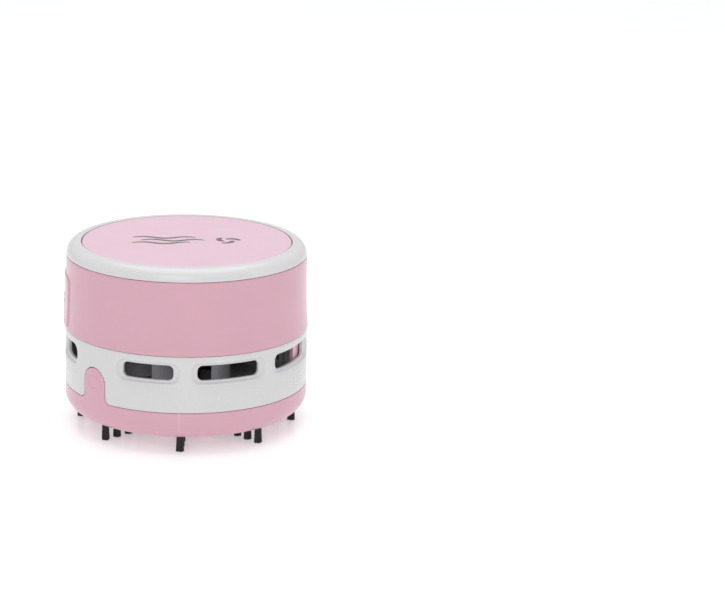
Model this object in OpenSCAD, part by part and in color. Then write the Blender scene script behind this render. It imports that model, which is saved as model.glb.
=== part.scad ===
// Battery desk dust collector: a round hand-sized vacuum that stands on brush tufts.
// All sizes are millimetres. The origin is on the table under the middle of the brushes, +Z up.
// The two release tabs of the dust tray lie on the X axis.

/* [Overall] */
// Diameter at the lower lip of the coloured sleeve
body_d = 85; // [82:0.5:92]
// Height from the underside of the dust tray to the top of the battery lid
body_h = 59.5; // [59:0.5:66]
// How much smaller the sleeve is at its top, in diameter
sleeve_taper = 1.5; // [0.5:0.5:2.5]

/* [Dust tray] */
// Height of the tray wall
tray_h = 9.95; // [8.5:0.05:13]
// Radius of the rounded bottom edge
tray_edge_r = 6.5; // [3:0.5:7.5]
// Thickness of the tray wall
tray_wall = 2; // [1.6:0.1:2.4]
// Thickness of the tray floor
tray_floor = 2.4; // [2:0.1:3]
// How much the tray and the vent ring are smaller than the sleeve lip, in radius
lip_overhang = 0.3; // [0.1:0.05:0.6]
// Diameter of the intake hole
intake_d = 18.5; // [14:0.5:22]
// Wall of the intake tube
intake_wall = 1.6; // [1.2:0.1:2.4]
// Height of the intake tube above the tray floor
intake_h = 5.4; // [4:0.1:6.5]
// Radius of the rounded lip of the intake hole
intake_lip_r = 1.2; // [0.5:0.1:1.5]
// Height of the upstand that fits inside the vent ring
upstand_h = 2.4; // [1.5:0.1:2.8]

/* [Release tabs] */
// Width of a tab
tab_w = 10.5; // [8:0.5:14]
// Height of a tab above the tray wall
tab_h = 11.8; // [9:0.1:13]
// Thickness of a tab
tab_t = 1.6; // [1.2:0.1:1.8]
// Radius where a tab meets the tray wall
tab_root_r = 2.5; // [1:0.1:3]

/* [Brushes] */
// How far the bristles reach below the tray
bristle_reach = 5; // [4:0.5:8]
// Diameter of a tuft where it enters the tray
tuft_root_d = 2.4; // [1.8:0.1:2.8]
// Diameter of a tuft at its splayed tip
tuft_tip_d = 3; // [2.4:0.1:3.6]
// Distance between two tufts of a row
tuft_pitch = 5.15; // [4:0.05:5.5]
// Distance of the outermost tuft from the middle
tuft_outer_r = 37; // [34:0.5:38]
// Tufts in a long row
long_row = 5; // [3:1:5]
// Tufts in a short row
short_row = 3; // [2:1:4]
// Width of the shallow pocket around a row
pocket_w = 5.8; // [4:0.1:7]
// Depth of that pocket
pocket_deep = 0.5; // [0.2:0.1:0.8]

/* [Vent ring] */
// Height of the vent ring
ring_h = 19.85; // [19:0.05:24]
// Wall of the vent ring
ring_wall = 2.2; // [1.8:0.1:2.4]
// Height of a vent opening
vent_h = 5.5; // [4.5:0.1:6.5]
// Height of the middle of the vents above the lower edge of the ring
vent_mid = 13.9; // [13:0.1:15]
// How much wider the recess round a vent is, on each side
vent_bevel = 1; // [0.5:0.1:1.3]

/* [Lid and bezel] */
// Diameter of the battery lid
lid_d = 72.6; // [72:0.2:73.4]
// Thickness of the battery lid
lid_t = 2.2; // [1.6:0.1:2.6]
// Radius of the rounded shoulder of the bezel
bezel_r = 4.2; // [3.5:0.1:4.4]

/* [Shells] */
// Wall of the inner shell that carries the bezel
shell_wall = 1.1; // [0.9:0.1:1.3]
// Thinnest wall of the coloured sleeve
sleeve_wall = 1.5; // [1.2:0.1:1.8]
// Thickness of the motor deck
deck_t = 1.6; // [1.2:0.1:2.2]

/* [Fan and motor] */
// Diameter of the impeller
fan_d = 66; // [56:1:67]
// Number of blades
blades = 10; // [6:1:12]
// Thickness of a blade
blade_t = 1; // [0.8:0.1:1.4]
// Diameter of the fan inlet in the ring floor
inlet_d = 24; // [18:1:28]
// Diameter of the motor shaft
shaft_d = 2; // [1.5:0.1:2.3]
// Diameter of the motor can
can_d = 20.1; // [18:0.1:21]
// Width of the motor can across its flats
can_flat = 15.1; // [14:0.1:15.5]
// Length of the steel can
can_l = 20; // [18:0.1:21]
// Length of the plastic end cap
cap_l = 4.6; // [3.5:0.1:5]

/* [Batteries] */
// Diameter of a round cell
cell_d = 14.2; // [13.5:0.1:14.5]
// Length of a round cell with its nub
cell_l = 50.5; // [49:0.1:50.5]
// Room for the spring at the flat end of a cell
spring_room = 4; // [3:0.1:4.2]

/* [Switch] */
// Direction of the switch, seen from above
switch_az = 140.5; // [138:0.5:143]
// Travel of the switch knob
switch_travel = 3; // [2:0.1:4]
// Width of the knob
knob_w = 5; // [4:0.1:6]
// Height of the knob
knob_h = 6.5; // [5:0.1:8]
// How far the knob stands out of its panel
knob_out = 0.3; // [0.2:0.1:1.5]
// Height of the raised panel
panel_h = 18.3; // [16:0.1:20]
// Angle that the raised panel spans
panel_span = 27; // [20:1:32]
// How far the panel stands out of the sleeve
panel_out = 0.5; // [0.3:0.1:0.7]

/* [Fits] */
// Gap between fixed shells
fit = 0.15; // [0.1:0.05:0.2]
// Gap round a piece that slides
slide_gap = 0.25; // [0.2:0.05:0.35]
// Radial clearance of a shaft in its bush
run_gap = 0.02; // [0.01:0.01:0.05]

/* [Hidden] */
$fn = 96;
e = 0.02;

// Radii of the outside
lip_r = body_d / 2;
tray_r = lip_r - lip_overhang;
ring_r = tray_r;
ring_in = ring_r - ring_wall;
sleeve_top_r = (body_d - sleeve_taper) / 2;
sleeve_in = sleeve_top_r - sleeve_wall;
shell_r = sleeve_in - fit;
shell_in = shell_r - shell_wall;
lid_r = lid_d / 2;

// Heights, from the table up
base_z = bristle_reach;
rim_z = base_z + tray_h;
ring_z = rim_z + fit;
ring_top = rim_z + ring_h;
upstand_top = rim_z + upstand_h;
seal_t = 1.1;
floor_z = ring_z + 3.6;
floor_t = 1.5;
floor_top = floor_z + floor_t;
vent_z = ring_z + vent_mid - fit;
lid_top = base_z + body_h;
seat_z = lid_top - lid_t;
bezel_top = lid_top + 0.2;
bezel_z = bezel_top - bezel_r;
sleeve_z = ring_top + fit;
sleeve_top = bezel_z - fit;
deck_z = ring_top - 1;
deck_top = deck_z + deck_t;

// Impeller, under the deck
fan_r = fan_d / 2;
fan_low = floor_top + 1.2;
fan_top = deck_z - 3.4;
fan_plate = 1;
hub_r = 4;

// Motor, hung in a pocket of the deck
pocket_floor = 1.4;
pocket_z = fan_top + 0.8;
washer_t = 0.8;
motor_z = pocket_z + pocket_floor + washer_t;
can_top = motor_z + can_l;
cap_top = can_top + cap_l;
can_wall = 0.8;
boss_r = 3.05;
boss_l = 1.5;
shaft_r = shaft_d / 2;
shaft_low = fan_low + 0.8;
cradle_wall = 1.8;
cradle_top = deck_top + 8;

// Battery bay, square to the switch
bay_az = switch_az - 90;
cell_r = cell_d / 2;
bay_wall = 1.2;
cell_y = can_flat / 2 + 0.3 + bay_wall + 0.3 + cell_r;
bay_x = (cell_l + spring_room) / 2;
holder_z = deck_top + 9.2;
holder_t = 1.2;
holder_r = shell_in - 0.35;
cell_z = holder_z + holder_t + 0.2 + cell_r;
plate_t = 0.4;
nub_l = 1;
nub_r = 2.7;
end_x = bay_x + plate_t + 0.05;
side_y = cell_y + cell_r + 0.4;

// Screws
post_azs = [47.75, 132.25, 227.75, 312.25];
post_r = 36.1;
post_d = 5;
screw_r = 1.1;
head_r = 1.95;
head_h = 1.4;
holder_post_az = 20;
holder_post_r = 33.6;
holder_post_d = 4.6;
head_seat = floor_z + 5.5;

// Switch
panel_mid = sleeve_z + 0.9 + panel_h / 2;
switch_depth = 3.4;
switch_w = 3.7;
switch_l = 8.7;
flange_t = 0.9;
flange_w = knob_w + 1.2;
flange_out = shell_in - 0.6;
switch_out = flange_out - flange_t - 0.15;
knob_rest = -switch_travel / 2;

// Tray rows: long rows on the axes, short rows between them
row_count = 8;
function row_len(i) = i % 2 == 0 ? long_row : short_row;
function row_az(i) = i * 360 / row_count;
function row_in(i) = tuft_outer_r - (row_len(i) - 1) * tuft_pitch;

// How far a boss or pad starts inside the floor that it stands on
sink = 0.4;

// How far a tab's root circle sinks into the rim, so that the two never just touch
tab_root_sink = 0.12;

// Vents: start and end angles of the recesses in a half turn from a tab
vents = [[13.5, 45.5], [50, 88], [92, 130], [134.5, 166.5]];
vent_inset = 3.2;

// Snap legs of the sleeve inside the ring
leg_azs = [122, 302];
leg_span = 12;
leg_r = ring_in - 0.35;
leg_t = 1.2;
leg_low = vent_z - vent_h / 2 - 1.5;

// A ring or a part of a ring with a rectangular section
module band(r1, r2, z1, z2, from = 0, span = 360) {
    rotate(from)
        rotate_extrude(angle = span)
            translate([r1, z1])
                square([r2 - r1, z2 - z1]);
}

module in_bay() {
    rotate(bay_az)
        children();
}

// A block that points away from the axis in one direction
module radial_block(az, r1, r2, w, z1, z2) {
    rotate(az)
        translate([r1, -w / 2, z1])
            cube([r2 - r1, w, z2 - z1]);
}

module post(az, r, d, z1, z2) {
    rotate(az)
        translate([r, 0, z1])
            cylinder(d = d, h = z2 - z1, $fn = 40);
}

// The outline of a release tab, grown by g, extruded outwards from the axis
module tab_shape(g, r1, r2) {
    head_z = rim_z + tab_h - tab_w / 2;
    rotate([90, 0, 90])
        translate([0, 0, r1])
            linear_extrude(r2 - r1) {
                translate([0, head_z])
                    circle(r = tab_w / 2 + g);
                translate([-tab_w / 2 - g, rim_z - 2])
                    square([tab_w + 2 * g, head_z - rim_z + 2]);
                tab_root(g);
                mirror([1, 0])
                    tab_root(g);
            }
}

// The hollow corner where a tab meets the rim of the tray
module tab_root(g) {
    difference() {
        translate([tab_w / 2 - 0.5, rim_z - 2])
            square([tab_root_r + 0.5, tab_root_r + 2]);
        translate([tab_w / 2 + tab_root_r, rim_z + tab_root_r - tab_root_sink])
            circle(r = tab_root_r - g);
    }
}

module dust_tray() {
    color("pink") {
        difference() {
            union() {
                rotate_extrude()
                    tray_profile();
                for (side = [0, 180])
                    rotate(side)
                        intersection() {
                            band(tray_r - tab_t, tray_r - e, rim_z - 1,
                                rim_z + tab_h + 1, -20, 40);
                            tab_shape(0, tray_r - 6, tray_r + 2);
                        }
            }
            for (i = [0 : row_count - 1])
                rotate(row_az(i)) {
                    row_pocket(i);
                    for (k = [0 : row_len(i) - 1])
                        translate([tuft_outer_r - k * tuft_pitch, 0, base_z - 1])
                            cylinder(d = tuft_root_d + 2 * e, h = 1 + tray_floor - 0.6, $fn = 24);
                }
            for (az = [135, 315])
                rotate(az)
                    translate([tuft_outer_r / 2, 0, base_z - 1])
                        cylinder(d = 2.8, h = 1.3, $fn = 32);
        }
    }
}

// Section of the tray with its rounded edge, its upstand and the intake tube
module tray_profile() {
    inner_edge = tray_edge_r - tray_wall;
    tube_r = intake_d / 2;
    difference() {
        union() {
            translate([0, base_z + tray_edge_r - e])
                square([tray_r, tray_h - tray_edge_r + e]);
            translate([0, base_z])
                square([tray_r - tray_edge_r, tray_edge_r + e]);
            intersection() {
                translate([tray_r - tray_edge_r, base_z + tray_edge_r])
                    circle(r = tray_edge_r);
                translate([0, base_z])
                    square([tray_r, tray_edge_r]);
            }
            translate([0, rim_z - e])
                square([ring_in - slide_gap, upstand_h + e]);
        }
        difference() {
            union() {
                translate([0, base_z + tray_floor + inner_edge])
                    square([ring_in - slide_gap - 1.6, tray_h + upstand_h]);
                translate([0, base_z + tray_floor])
                    square([ring_in - slide_gap - 1.6 - inner_edge, inner_edge + e]);
                translate([ring_in - slide_gap - 1.6 - inner_edge,
                        base_z + tray_floor + inner_edge])
                    circle(r = inner_edge);
            }
            square([tube_r + intake_wall, base_z + tray_floor + intake_h]);
        }
        square([tube_r, base_z + tray_floor + intake_h + 10]);
        difference() {
            translate([0, base_z - 1])
                square([tube_r + intake_lip_r, 1 + intake_lip_r]);
            translate([tube_r + intake_lip_r, base_z + intake_lip_r])
                circle(r = intake_lip_r);
        }
    }
}

// Shallow pocket round one row of tufts, open at the rim
module row_pocket(i) {
    translate([row_in(i), 0, base_z - 1]) {
        cylinder(d = pocket_w, h = 1 + pocket_deep, $fn = 48);
        translate([0, -pocket_w / 2, 0])
            cube([tray_r, pocket_w, 1 + pocket_deep]);
    }
}

// One row of bristle tufts, each splayed at its tip
module brush_row(i) {
    top = base_z + tray_floor - 0.7;
    splay_z = 0.65 * bristle_reach;
    color("#1c1614")
        rotate(row_az(i))
            for (k = [0 : row_len(i) - 1])
                translate([tuft_outer_r - k * tuft_pitch, 0, 0])
                    rotate_extrude($fn = 24)
                        polygon([[0, 0], [tuft_tip_d / 2, 0], [tuft_root_d / 2, splay_z],
                            [tuft_root_d / 2, top], [0, top]]);
}

module tray_seal() {
    color("dimgray")
        band(ring_in - 3.6, ring_in - 0.3, floor_z - seal_t, floor_z - e);
}

// Frame that presses into the collar under the ring floor
module filter_frame() {
    color("gainsboro")
        difference() {
            union() {
                band(frame_r - 2.5, frame_r, filter_z, floor_z - e);
                translate([0, 0, filter_z + 0.5])
                    cylinder(r = 5, h = 1.3);
                for (i = [0 : 5])
                    radial_block(i * 60, 3, frame_r - 1, 1.4, filter_z + 0.5, filter_z + 1.8);
            }
            translate([0, 0, filter_z - e])
                cylinder(r = frame_r - 1.2, h = 0.5);
        }
}

frame_r = 32;
filter_z = floor_z - 2.3;

module filter_mesh() {
    color("#222222")
        translate([0, 0, filter_z])
            cylinder(r = frame_r - 1.25, h = 0.4);
}

module vent_ring() {
    color("white")
        difference() {
            union() {
                rotate_extrude()
                    ring_profile();
                for (side = [0, 180])
                    band(ring_in - 1.4, ring_in + 0.5, floor_z + sink, rim_z + tab_h + 2,
                        side - 11, 22);
                for (az = post_azs)
                    post(az, post_r, post_d, floor_z + sink, deck_z - 0.05);
            }
            for (side = [0, 180])
                rotate(side)
                    intersection() {
                        band(tray_r - tab_t - slide_gap, tray_r + 2, ring_z - 2,
                            rim_z + tab_h + 2, -20, 40);
                        tab_shape(slide_gap, tray_r - 6, tray_r + 3);
                    }
            for (side = [0, 180])
                for (v = vents)
                    vent_cut(side + v[0], v[1] - v[0]);
            for (az = post_azs) {
                post(az, post_r, 2 * screw_r + 0.3, floor_z - 1, deck_z + 1);
                post(az, post_r, 2 * head_r + 0.3, floor_z - 1, head_seat);
            }
        }
}

// Section of the vent ring: wall, floor with the fan inlet, and the filter collar
module ring_profile() {
    translate([ring_in, ring_z])
        square([ring_wall, ring_top - ring_z]);
    translate([inlet_d / 2, floor_z])
        square([ring_in + 0.5 - inlet_d / 2, floor_t]);
    translate([frame_r + 0.1, filter_z])
        square([1.2, floor_z - filter_z + 0.5]);
}

// One vent: a through opening and a shallow recess round it. Their round corners are made
// of two steps: one full height and a little short, one full length and a little low.
module vent_cut(from, span) {
    half = vent_h / 2;
    for (step = [0, 1]) {
        short = deg((1 - step) * corner);
        low = step * corner;
        extra = step * 0.1;
        band(ring_in - 1 - extra, ring_r + 1 + extra, vent_z - half + low, vent_z + half - low,
            from + vent_inset + short, span - 2 * (vent_inset + short));
        band(ring_r - vent_bevel + extra, ring_r + 2 + extra,
            vent_z - half - vent_bevel + low, vent_z + half + vent_bevel - low,
            from + short, span - 2 * short);
    }
}

// Size of the stepped corners of a vent
corner = 0.9;

// The angle that an arc of length l spans on the outside of the ring
function deg(l) = l / ring_r * 180 / PI;

// Angle at which the impeller rests
blade_rest = 11;

// Curved blade between the inlet and the rim of the impeller
module blade() {
    arc_c = 20 * fan_r / 33;
    arc_r = 15 * fan_r / 33;
    intersection() {
        difference() {
            translate([arc_c, 0])
                circle(r = arc_r + blade_t / 2);
            translate([arc_c, 0])
                circle(r = arc_r - blade_t / 2);
        }
        difference() {
            circle(r = fan_r - 0.4);
            circle(r = inlet_d / 2 + 1);
        }
        translate([0, 0.5])
            square(fan_r + 5);
    }
}

module impeller() {
    color("#77757a")
        difference() {
            union() {
                translate([0, 0, fan_top - fan_plate])
                    cylinder(r = fan_r, h = fan_plate);
                translate([0, 0, fan_low + 1])
                    cylinder(r = hub_r, h = fan_top - fan_low - 1 - fan_plate / 2, $fn = 40);
                for (i = [0 : blades - 1])
                    rotate(blade_rest + i * 360 / blades)
                        translate([0, 0, fan_low])
                            linear_extrude(fan_top - fan_low - fan_plate / 2)
                                blade();
            }
            translate([0, 0, shaft_low - 0.1])
                cylinder(r = shaft_r + 0.01, h = 40, $fn = 32);
        }
}

// Outline of the motor can, grown by g
module can_outline(g) {
    intersection() {
        circle(r = can_d / 2 + g);
        square([can_d + 2 * g + 2, can_flat + 2 * g], center = true);
    }
}

module motor_can() {
    color("silver")
        in_bay()
            difference() {
                union() {
                    translate([0, 0, motor_z])
                        linear_extrude(can_l)
                            can_outline(0);
                    translate([0, 0, motor_z - boss_l])
                        cylinder(r = boss_r, h = boss_l + e, $fn = 40);
                }
                translate([0, 0, motor_z + can_wall])
                    linear_extrude(can_l)
                        can_outline(-can_wall);
                translate([0, 0, motor_z - boss_l - 1])
                    cylinder(r = bush_r + e, h = boss_l + can_wall + 2, $fn = 40);
            }
}

bush_r = 2.2;
bush_l = 2.6;
magnet_in = 6.6;
core_r = 6.2;

module motor_end_cap() {
    color("white")
        in_bay()
            difference() {
                union() {
                    translate([0, 0, can_top - 1])
                        linear_extrude(1 + e)
                            can_outline(-can_wall - 0.05);
                    translate([0, 0, can_top])
                        linear_extrude(cap_l)
                            can_outline(-0.1);
                }
                translate([0, 0, can_top - 2])
                    linear_extrude(cap_l + 0.4)
                        can_outline(-can_wall - 1.2);
                translate([0, 0, can_top])
                    cylinder(r = bush_r + e, h = cap_l + 1, $fn = 40);
                for (x = [-1, 1])
                    translate([x * 7.3 - 0.25, -1.1, can_top])
                        cube([0.5, 2.2, cap_l + 1]);
            }
}

module motor_magnets() {
    z1 = motor_z + can_wall + 3;
    z2 = can_top - 3;
    color("#3a3a3c")
        in_bay()
            for (side = [0, 180])
                band(magnet_in, can_d / 2 - can_wall - e, z1, z2, side - 40, 80);
}

// Laminated three-pole core
module motor_armature() {
    z1 = motor_z + can_wall + 3.6;
    z2 = can_top - 5;
    color("#8a8a8e")
        difference() {
            translate([0, 0, z1])
                linear_extrude(z2 - z1)
                    difference() {
                        circle(r = core_r);
                        for (i = [0 : 2])
                            rotate(i * 120 + 60) {
                                translate([2.2, -0.5])
                                    square([6, 1]);
                                translate([4, 0])
                                    circle(r = 1.7);
                            }
                    }
            translate([0, 0, z1 - 1])
                cylinder(r = shaft_r + 0.01, h = 60, $fn = 32);
        }
}

// Three copper coils, one over each end of the poles
module motor_windings() {
    z1 = motor_z + can_wall + 3.6;
    z2 = can_top - 5;
    color("#b5652b")
        for (i = [0 : 2])
            rotate(i * 120)
                for (z = [z1 - 1.9, z2 + 0.1])
                    translate([2.4, -2, z])
                        cube([2.8, 4, 1.8]);
}

module motor_commutator() {
    color("#c98f4e")
        translate([0, 0, can_top - 2.8])
            difference() {
                cylinder(r = 2, h = 3.6, $fn = 40);
                translate([0, 0, -1])
                    cylinder(r = shaft_r + 0.01, h = 10, $fn = 32);
                for (i = [0 : 2])
                    rotate(i * 120)
                        translate([1.6, -0.15, -1])
                            cube([1, 0.3, 10]);
            }
}

// Two leaf brushes beside the commutator
module motor_brushes() {
    color("#c9a227")
        in_bay()
            for (side = [-1, 1])
                translate([side * 2.35 - 0.15, -4, can_top - 1.6])
                    cube([0.3, 8, 1.6]);
}

module motor_terminals() {
    color("#d9b44a")
        in_bay()
            for (side = [-1, 1])
                translate([side * 7.3 - 0.2, -1, can_top + 0.6])
                    cube([0.4, 2, cap_l + 1.8]);
}

module motor_bearings() {
    color("#a9773b")
        for (z = [motor_z - boss_l + 0.1, cap_top - bush_l])
            translate([0, 0, z])
                difference() {
                    cylinder(r = bush_r, h = bush_l - 0.2, $fn = 40);
                    translate([0, 0, -1])
                        cylinder(r = shaft_r + run_gap, h = 10, $fn = 32);
                }
}

module motor_shaft() {
    color("gray")
        translate([0, 0, shaft_low])
            cylinder(r = shaft_r, h = cap_top - 0.4 - shaft_low, $fn = 32);
}

module motor_washer() {
    color("#2b2b2b")
        translate([0, 0, motor_z - washer_t + e])
            difference() {
                cylinder(r = 7, h = washer_t - 2 * e);
                translate([0, 0, -1])
                    cylinder(r = boss_r + 0.1, h = 5, $fn = 40);
            }
}

// Deck that carries the motor in a pocket and closes the fan chamber
module motor_deck() {
    color("#2f2f31")
        difference() {
            union() {
                translate([0, 0, deck_z])
                    cylinder(r = ring_in - 0.25, h = deck_t);
                in_bay() {
                    translate([0, 0, pocket_z])
                        linear_extrude(cradle_top - pocket_z)
                            can_outline(0.2 + cradle_wall);
                    for (side = [0, 180])
                        post(holder_post_az + side, holder_post_r, holder_post_d,
                            deck_top - e, holder_z - 0.05);
                }
            }
            in_bay() {
                translate([0, 0, pocket_z + pocket_floor])
                    linear_extrude(40)
                        can_outline(0.2);
                for (side = [0, 180])
                    post(holder_post_az + side, holder_post_r, 2 * screw_r - 0.4,
                        deck_top + 1, holder_z + 1);
            }
            translate([0, 0, pocket_z - 1])
                cylinder(r = boss_r + 0.1, h = 10, $fn = 40);
            for (az = post_azs)
                post(az, post_r, 2 * screw_r + 0.3, deck_z - 1, deck_top + 1);
            for (az = leg_azs)
                band(leg_r - leg_t - 0.4, ring_in + 2, deck_z - 1, deck_top + 1,
                    az - leg_span / 2 - 1, leg_span + 2);
        }
}

// Inner shell with the rounded bezel, the seat of the lid and four screw bosses
module upper_shell() {
    shell_z = deck_top + 0.05;
    boss_top = holder_z - 0.4;
    color("white")
        difference() {
            union() {
                rotate_extrude() {
                    bezel_profile();
                    translate([shell_in, shell_z])
                        square([shell_wall, bezel_z + 1 - shell_z]);
                }
                for (az = post_azs)
                    union() {
                        post(az, post_r, post_d, shell_z + sink, boss_top);
                        radial_block(az, post_r, shell_in + shell_wall / 2, 2.4,
                            shell_z + sink, boss_top);
                    }
            }
            for (az = post_azs)
                post(az, post_r, 2 * screw_r - 0.4, shell_z - 1, boss_top - 1);
            in_bay()
                translate([-bay_x - 0.2, -cell_y - cell_r - 0.1, seat_z - 3])
                    cube([2 * bay_x + 0.4, 2 * (cell_y + cell_r) + 0.2, 4]);
            for (az = leg_azs)
                band(shell_in - 1, shell_r + 1, shell_z - 1, leg_root_top + 0.3,
                    az - leg_span / 2 - 1, leg_span + 2);
            switch_window(shell_in - 3, shell_r + 1);
        }
}

leg_root_top = sleeve_z + 2.6;

// Section of the bezel: seat ledge, inner rim and rounded shoulder
module bezel_profile() {
    ledge_t = 1.3;
    round_x = sleeve_top_r - bezel_r;
    translate([lid_r - 1.9, seat_z - ledge_t])
        square([shell_r - lid_r + 1.9, ledge_t]);
    intersection() {
        translate([lid_r + 0.3, bezel_z])
            square([sleeve_top_r, bezel_r + 1]);
        union() {
            translate([lid_r + 0.3, bezel_z])
                square([round_x - lid_r - 0.3, bezel_r]);
            translate([round_x, bezel_z])
                circle(r = bezel_r);
        }
    }
}

// Slot for the switch knob through the shell or the sleeve
module switch_window(r1, r2) {
    half = (knob_h + switch_travel) / 2 + 0.3;
    radial_block(switch_az, r1, r2, knob_w + 2 * slide_gap, panel_mid - half, panel_mid + half);
}

// Radius of the sleeve at height z: straight above, flared towards its lip
function sleeve_at(z) = sleeve_top_r
    + (lip_r - sleeve_top_r) * pow((sleeve_top - z) / (sleeve_top - sleeve_z), 4);

module color_sleeve() {
    steps = 10;
    span = sleeve_top - sleeve_z;
    color("pink")
        difference() {
            union() {
                rotate_extrude()
                    polygon(concat([[sleeve_in, sleeve_z], [sleeve_in, sleeve_top]],
                        [for (i = [0 : steps]) let (z = sleeve_top - i * span / steps)
                            [sleeve_at(z), z]]));
                band(sleeve_top_r - 0.5, sleeve_top_r + panel_out, panel_mid - panel_h / 2,
                    panel_mid + panel_h / 2, switch_az - panel_span / 2, panel_span);
                for (az = leg_azs) {
                    band(leg_r - leg_t, leg_r, leg_low, leg_root_top,
                        az - leg_span / 2, leg_span);
                    band(min(leg_r - leg_t, sleeve_in), max(leg_r, sleeve_in + 0.3), sleeve_z,
                        leg_root_top, az - leg_span / 2, leg_span);
                }
            }
            switch_window(sleeve_in - 1, lip_r + 3);
        }
}

module battery_lid() {
    leg_r2 = lid_r - 2.1;
    edge = 0.4;
    color("lightpink") {
        rotate_extrude()
            polygon([[0, seat_z + e], [lid_r, seat_z + e], [lid_r, lid_top - edge],
                [lid_r - edge, lid_top], [0, lid_top]]);
        in_bay()
            for (a = [0 : 90 : 270])
                band(leg_r2 - 1.3, leg_r2, seat_z - 4.4, seat_z + 0.5, a - 6, 12);
    }
}

module battery_holder() {
    top = cell_z + 1;
    color("#2f2f31")
        in_bay()
            difference() {
                intersection() {
                    union() {
                        translate([0, 0, holder_z])
                            cylinder(r = holder_r, h = holder_t);
                        for (s = [-1, 1]) {
                            translate([s * (end_x + bay_wall / 2), 0, (holder_z + top) / 2 + 1.5])
                                cube([bay_wall, 2 * side_y + 2, top - holder_z + 3],
                                    center = true);
                            translate([0, s * (side_y + 0.5), (holder_z + top) / 2 - 1])
                                cube([2 * end_x, 1, top - holder_z - 2], center = true);
                            translate([0, s * (can_flat / 2 + 0.3 + bay_wall / 2),
                                    (holder_z + top) / 2])
                                cube([2 * bay_x - 12, bay_wall, top - holder_z],
                                    center = true);
                        }
                    }
                    cylinder(r = holder_r, h = 100);
                }
                translate([0, 0, holder_z - 1])
                    linear_extrude(30)
                        can_outline(0.29);
                for (s = [0, 180])
                    post(holder_post_az + s, holder_post_r, 2 * screw_r + 0.3,
                        holder_z - 1, holder_z + 5);
                radial_block(90, pin_y - 1.5, holder_r + 1, flange_w + 1.5,
                    holder_z - 1, holder_z + 30);
                for (s = [-1, 1])
                    translate([bay_x - 0.2, s * cell_y - 2, holder_z - 1])
                        cube([plate_t + 0.4, 4, 4]);
                for (s = [-1, 1])
                    translate([s * lead_x - lead_slot / 2, -lead_slot / 2, holder_z - 1])
                        cube([lead_slot, lead_slot, 4]);
            }
}

// A round cell with its nub towards +X, and a wrapper edge at both ends
module cell(dir) {
    body_l = cell_l - nub_l;
    translate([dir * (bay_x - cell_l), dir * cell_y, cell_z])
        rotate([0, dir * 90, 0]) {
            cylinder(r = cell_r, h = body_l);
            cylinder(r = nub_r, h = cell_l - 0.02, $fn = 40);
        }
}

module battery_1() {
    color("#3d6b8f")
        in_bay()
            cell(1);
}

module battery_2() {
    color("#3d6b8f")
        in_bay()
            cell(-1);
}

// A round bar swept along a list of points, closed at both ends
module swept(points, r, sides = 8) {
    n = len(points);
    along = [for (i = [0 : n - 1]) unit(points[min(i + 1, n - 1)] - points[max(i - 1, 0)])];
    side = carried(along, 0, cross(along[0], abs(along[0][2]) < 0.9 ? [0, 0, 1] : [1, 0, 0]));
    ring = [for (i = [0 : n - 1]) for (k = [0 : sides - 1])
        points[i] + r * (cos(k * 360 / sides) * side[i]
            + sin(k * 360 / sides) * cross(along[i], side[i]))];
    quads = [for (i = [0 : n - 2]) for (k = [0 : sides - 1])
        [i * sides + k, i * sides + (k + 1) % sides,
            (i + 1) * sides + (k + 1) % sides, (i + 1) * sides + k]];
    polyhedron(ring, concat(quads, [[for (k = [sides - 1 : -1 : 0]) k]],
        [[for (k = [0 : sides - 1]) (n - 1) * sides + k]]), convexity = 4);
}

// A direction square to the bar at each of its points, carried along without a twist
function carried(along, i, u) = i >= len(along) ? []
    : let (w = unit(u - (u * along[i]) * along[i])) concat([w], carried(along, i + 1, w));

function unit(v) = v / norm(v);

// A smooth curve through a few corner points
function through(p, per = 5) = [for (i = [0 : len(p) - 2]) for (k = [0 : per - 1])
    spline(p[max(i - 1, 0)], p[i], p[i + 1], p[min(i + 2, len(p) - 1)], k / per),
    p[len(p) - 1]];

function spline(a, b, c, d, t) = 0.5 * (2 * b + (c - a) * t
    + (2 * a - 5 * b + 4 * c - d) * t * t + (3 * b - a - 3 * c + d) * t * t * t);

// Tapered contact spring from its plate to the flat end of a cell
module coil(dir) {
    wire_r = 0.3;
    turns = 4;
    per_turn = 10;
    from = dir * (bay_x - wire_r - 0.02);
    run = spring_room - 2 * wire_r - 0.04;
    points = [for (i = [0 : turns * per_turn])
        let (f = i / (turns * per_turn), a = i * 360 / per_turn, r = 4 - 1.6 * f)
            [from - dir * run * f, r * cos(a), r * sin(a)]];
    translate([0, -dir * cell_y, cell_z])
        swept(points, wire_r);
}

module battery_springs() {
    color("silver")
        in_bay() {
            coil(1);
            coil(-1);
        }
}

// Sheet plates against the end wall at the terminal side, with solder tails
module terminal_plates() {
    color("silver")
        in_bay()
            for (s = [-1, 1]) {
                translate([bay_x, s * cell_y - 4.5, cell_z - 4.5])
                    cube([plate_t, 9, 9]);
                translate([bay_x, s * cell_y - 1.5, holder_z - 2.5])
                    cube([plate_t, 3, cell_z - holder_z]);
            }
}

module bridge_plate() {
    color("silver")
        in_bay()
            translate([-bay_x - plate_t, -cell_y - 4.5, cell_z - 4.5])
                cube([plate_t, 2 * cell_y + 9, 9]);
}

// A pan-head screw with its shank upwards from the head seat
module screw(z, length, up) {
    translate([0, 0, z])
        mirror([0, 0, up > 0 ? 0 : 1])
            difference() {
                union() {
                    translate([0, 0, -head_h])
                        cylinder(r = head_r, h = head_h, $fn = 32);
                    translate([0, 0, -e])
                        cylinder(r = screw_r - 0.25, h = length, $fn = 24);
                }
                for (a = [0, 90])
                    rotate(a)
                        translate([-1.1, -0.25, -head_h - 1])
                            cube([2.2, 0.5, 1.7]);
            }
}

module housing_screws() {
    color("silver")
        for (az = post_azs)
            rotate(az)
                translate([post_r, 0, 0])
                    screw(head_seat, holder_z - 3 - head_seat, 1);
}

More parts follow.
